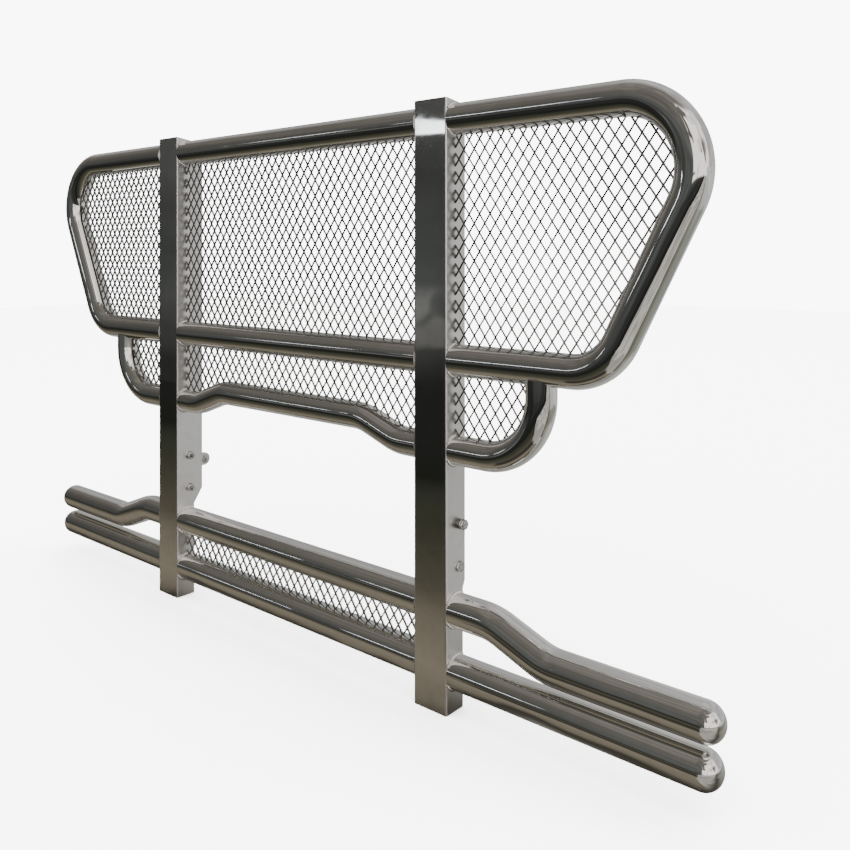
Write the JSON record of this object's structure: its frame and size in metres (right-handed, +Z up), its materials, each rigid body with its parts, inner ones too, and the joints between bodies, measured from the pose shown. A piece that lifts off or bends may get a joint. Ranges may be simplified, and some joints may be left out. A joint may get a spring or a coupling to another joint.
{
  "type": "truck grille guard",
  "caption": "Polished tube grille guard: channel posts carry a mesh-filled tapered loop, a lower bar and paired bumper tubes with domed ends, for the nose of a heavy truck.",
  "frame": {"origin": "on the centreline midway between the two posts, at the level of their feet and in the plane of their front faces; the datum of the pair of truck brackets", "axes": "+Z up along the posts; -Y out of the guard's front, away from the truck; +X along the guard's width, which is its longest extent"},
  "size_m": [2.221, 0.117, 1.3],
  "materials": {
    "right_post": "mirror polished",
    "left_post": "mirror polished",
    "right_post_cap": "mirror polished",
    "left_post_cap": "mirror polished",
    "right_post_foot": "mirror polished",
    "left_post_foot": "mirror polished",
    "right_bracket_lug": "mirror polished",
    "left_bracket_lug": "mirror polished",
    "top_rail": "mirror polished",
    "middle_rail": "mirror polished",
    "right_top_elbow": "mirror polished",
    "left_top_elbow": "mirror polished",
    "right_side_tube": "mirror polished",
    "left_side_tube": "mirror polished",
    "right_lower_elbow": "mirror polished",
    "left_lower_elbow": "mirror polished",
    "lower_bar": "mirror polished",
    "right_lower_bend": "mirror polished",
    "left_lower_bend": "mirror polished",
    "lower_bumper_centre": "mirror polished",
    "upper_bumper_centre": "mirror polished",
    "right_lower_wing": "mirror polished",
    "left_lower_wing": "mirror polished",
    "right_upper_wing": "mirror polished",
    "left_upper_wing": "mirror polished",
    "right_lower_dome": "mirror polished",
    "left_lower_dome": "mirror polished",
    "right_upper_dome": "mirror polished",
    "left_upper_dome": "mirror polished",
    "upper_centre_mesh": "polished",
    "upper_right_mesh": "polished",
    "upper_left_mesh": "polished",
    "lower_centre_mesh": "polished",
    "lower_right_mesh": "polished",
    "lower_left_mesh": "polished",
    "bumper_mesh": "polished",
    "lower_flange_bolts": "satin",
    "upper_flange_bolts": "satin",
    "flange_spacers": "satin",
    "flange_washers": "satin",
    "flange_nuts": "satin",
    "lug_bolts": "satin",
    "lug_nuts": "satin",
    "post_welds": "mirror polished"
  },
  "bodies": {
    "root": {"right_post": "right_post", "left_post": "left_post", "right_post_cap": "right_post_cap", "left_post_cap": "left_post_cap", "right_post_foot": "right_post_foot", "left_post_foot": "left_post_foot", "right_bracket_lug": "right_bracket_lug", "left_bracket_lug": "left_bracket_lug", "top_rail": "top_rail", "middle_rail": "middle_rail", "right_top_elbow": "right_top_elbow", "left_top_elbow": "left_top_elbow", "right_side_tube": "right_side_tube", "left_side_tube": "left_side_tube", "right_lower_elbow": "right_lower_elbow", "left_lower_elbow": "left_lower_elbow", "lower_bar": "lower_bar", "right_lower_bend": "right_lower_bend", "left_lower_bend": "left_lower_bend", "lower_bumper_centre": "lower_bumper_centre", "upper_bumper_centre": "upper_bumper_centre", "right_lower_wing": "right_lower_wing", "left_lower_wing": "left_lower_wing", "right_upper_wing": "right_upper_wing", "left_upper_wing": "left_upper_wing", "right_lower_dome": "right_lower_dome", "left_lower_dome": "left_lower_dome", "right_upper_dome": "right_upper_dome", "left_upper_dome": "left_upper_dome", "upper_centre_mesh": "upper_centre_mesh", "upper_right_mesh": "upper_right_mesh", "upper_left_mesh": "upper_left_mesh", "lower_centre_mesh": "lower_centre_mesh", "lower_right_mesh": "lower_right_mesh", "lower_left_mesh": "lower_left_mesh", "bumper_mesh": "bumper_mesh", "lower_flange_bolts": "lower_flange_bolts", "upper_flange_bolts": "upper_flange_bolts", "flange_spacers": "flange_spacers", "flange_washers": "flange_washers", "flange_nuts": "flange_nuts", "lug_bolts": "lug_bolts", "lug_nuts": "lug_nuts", "post_welds": "post_welds"}
  },
  "joints": []
}
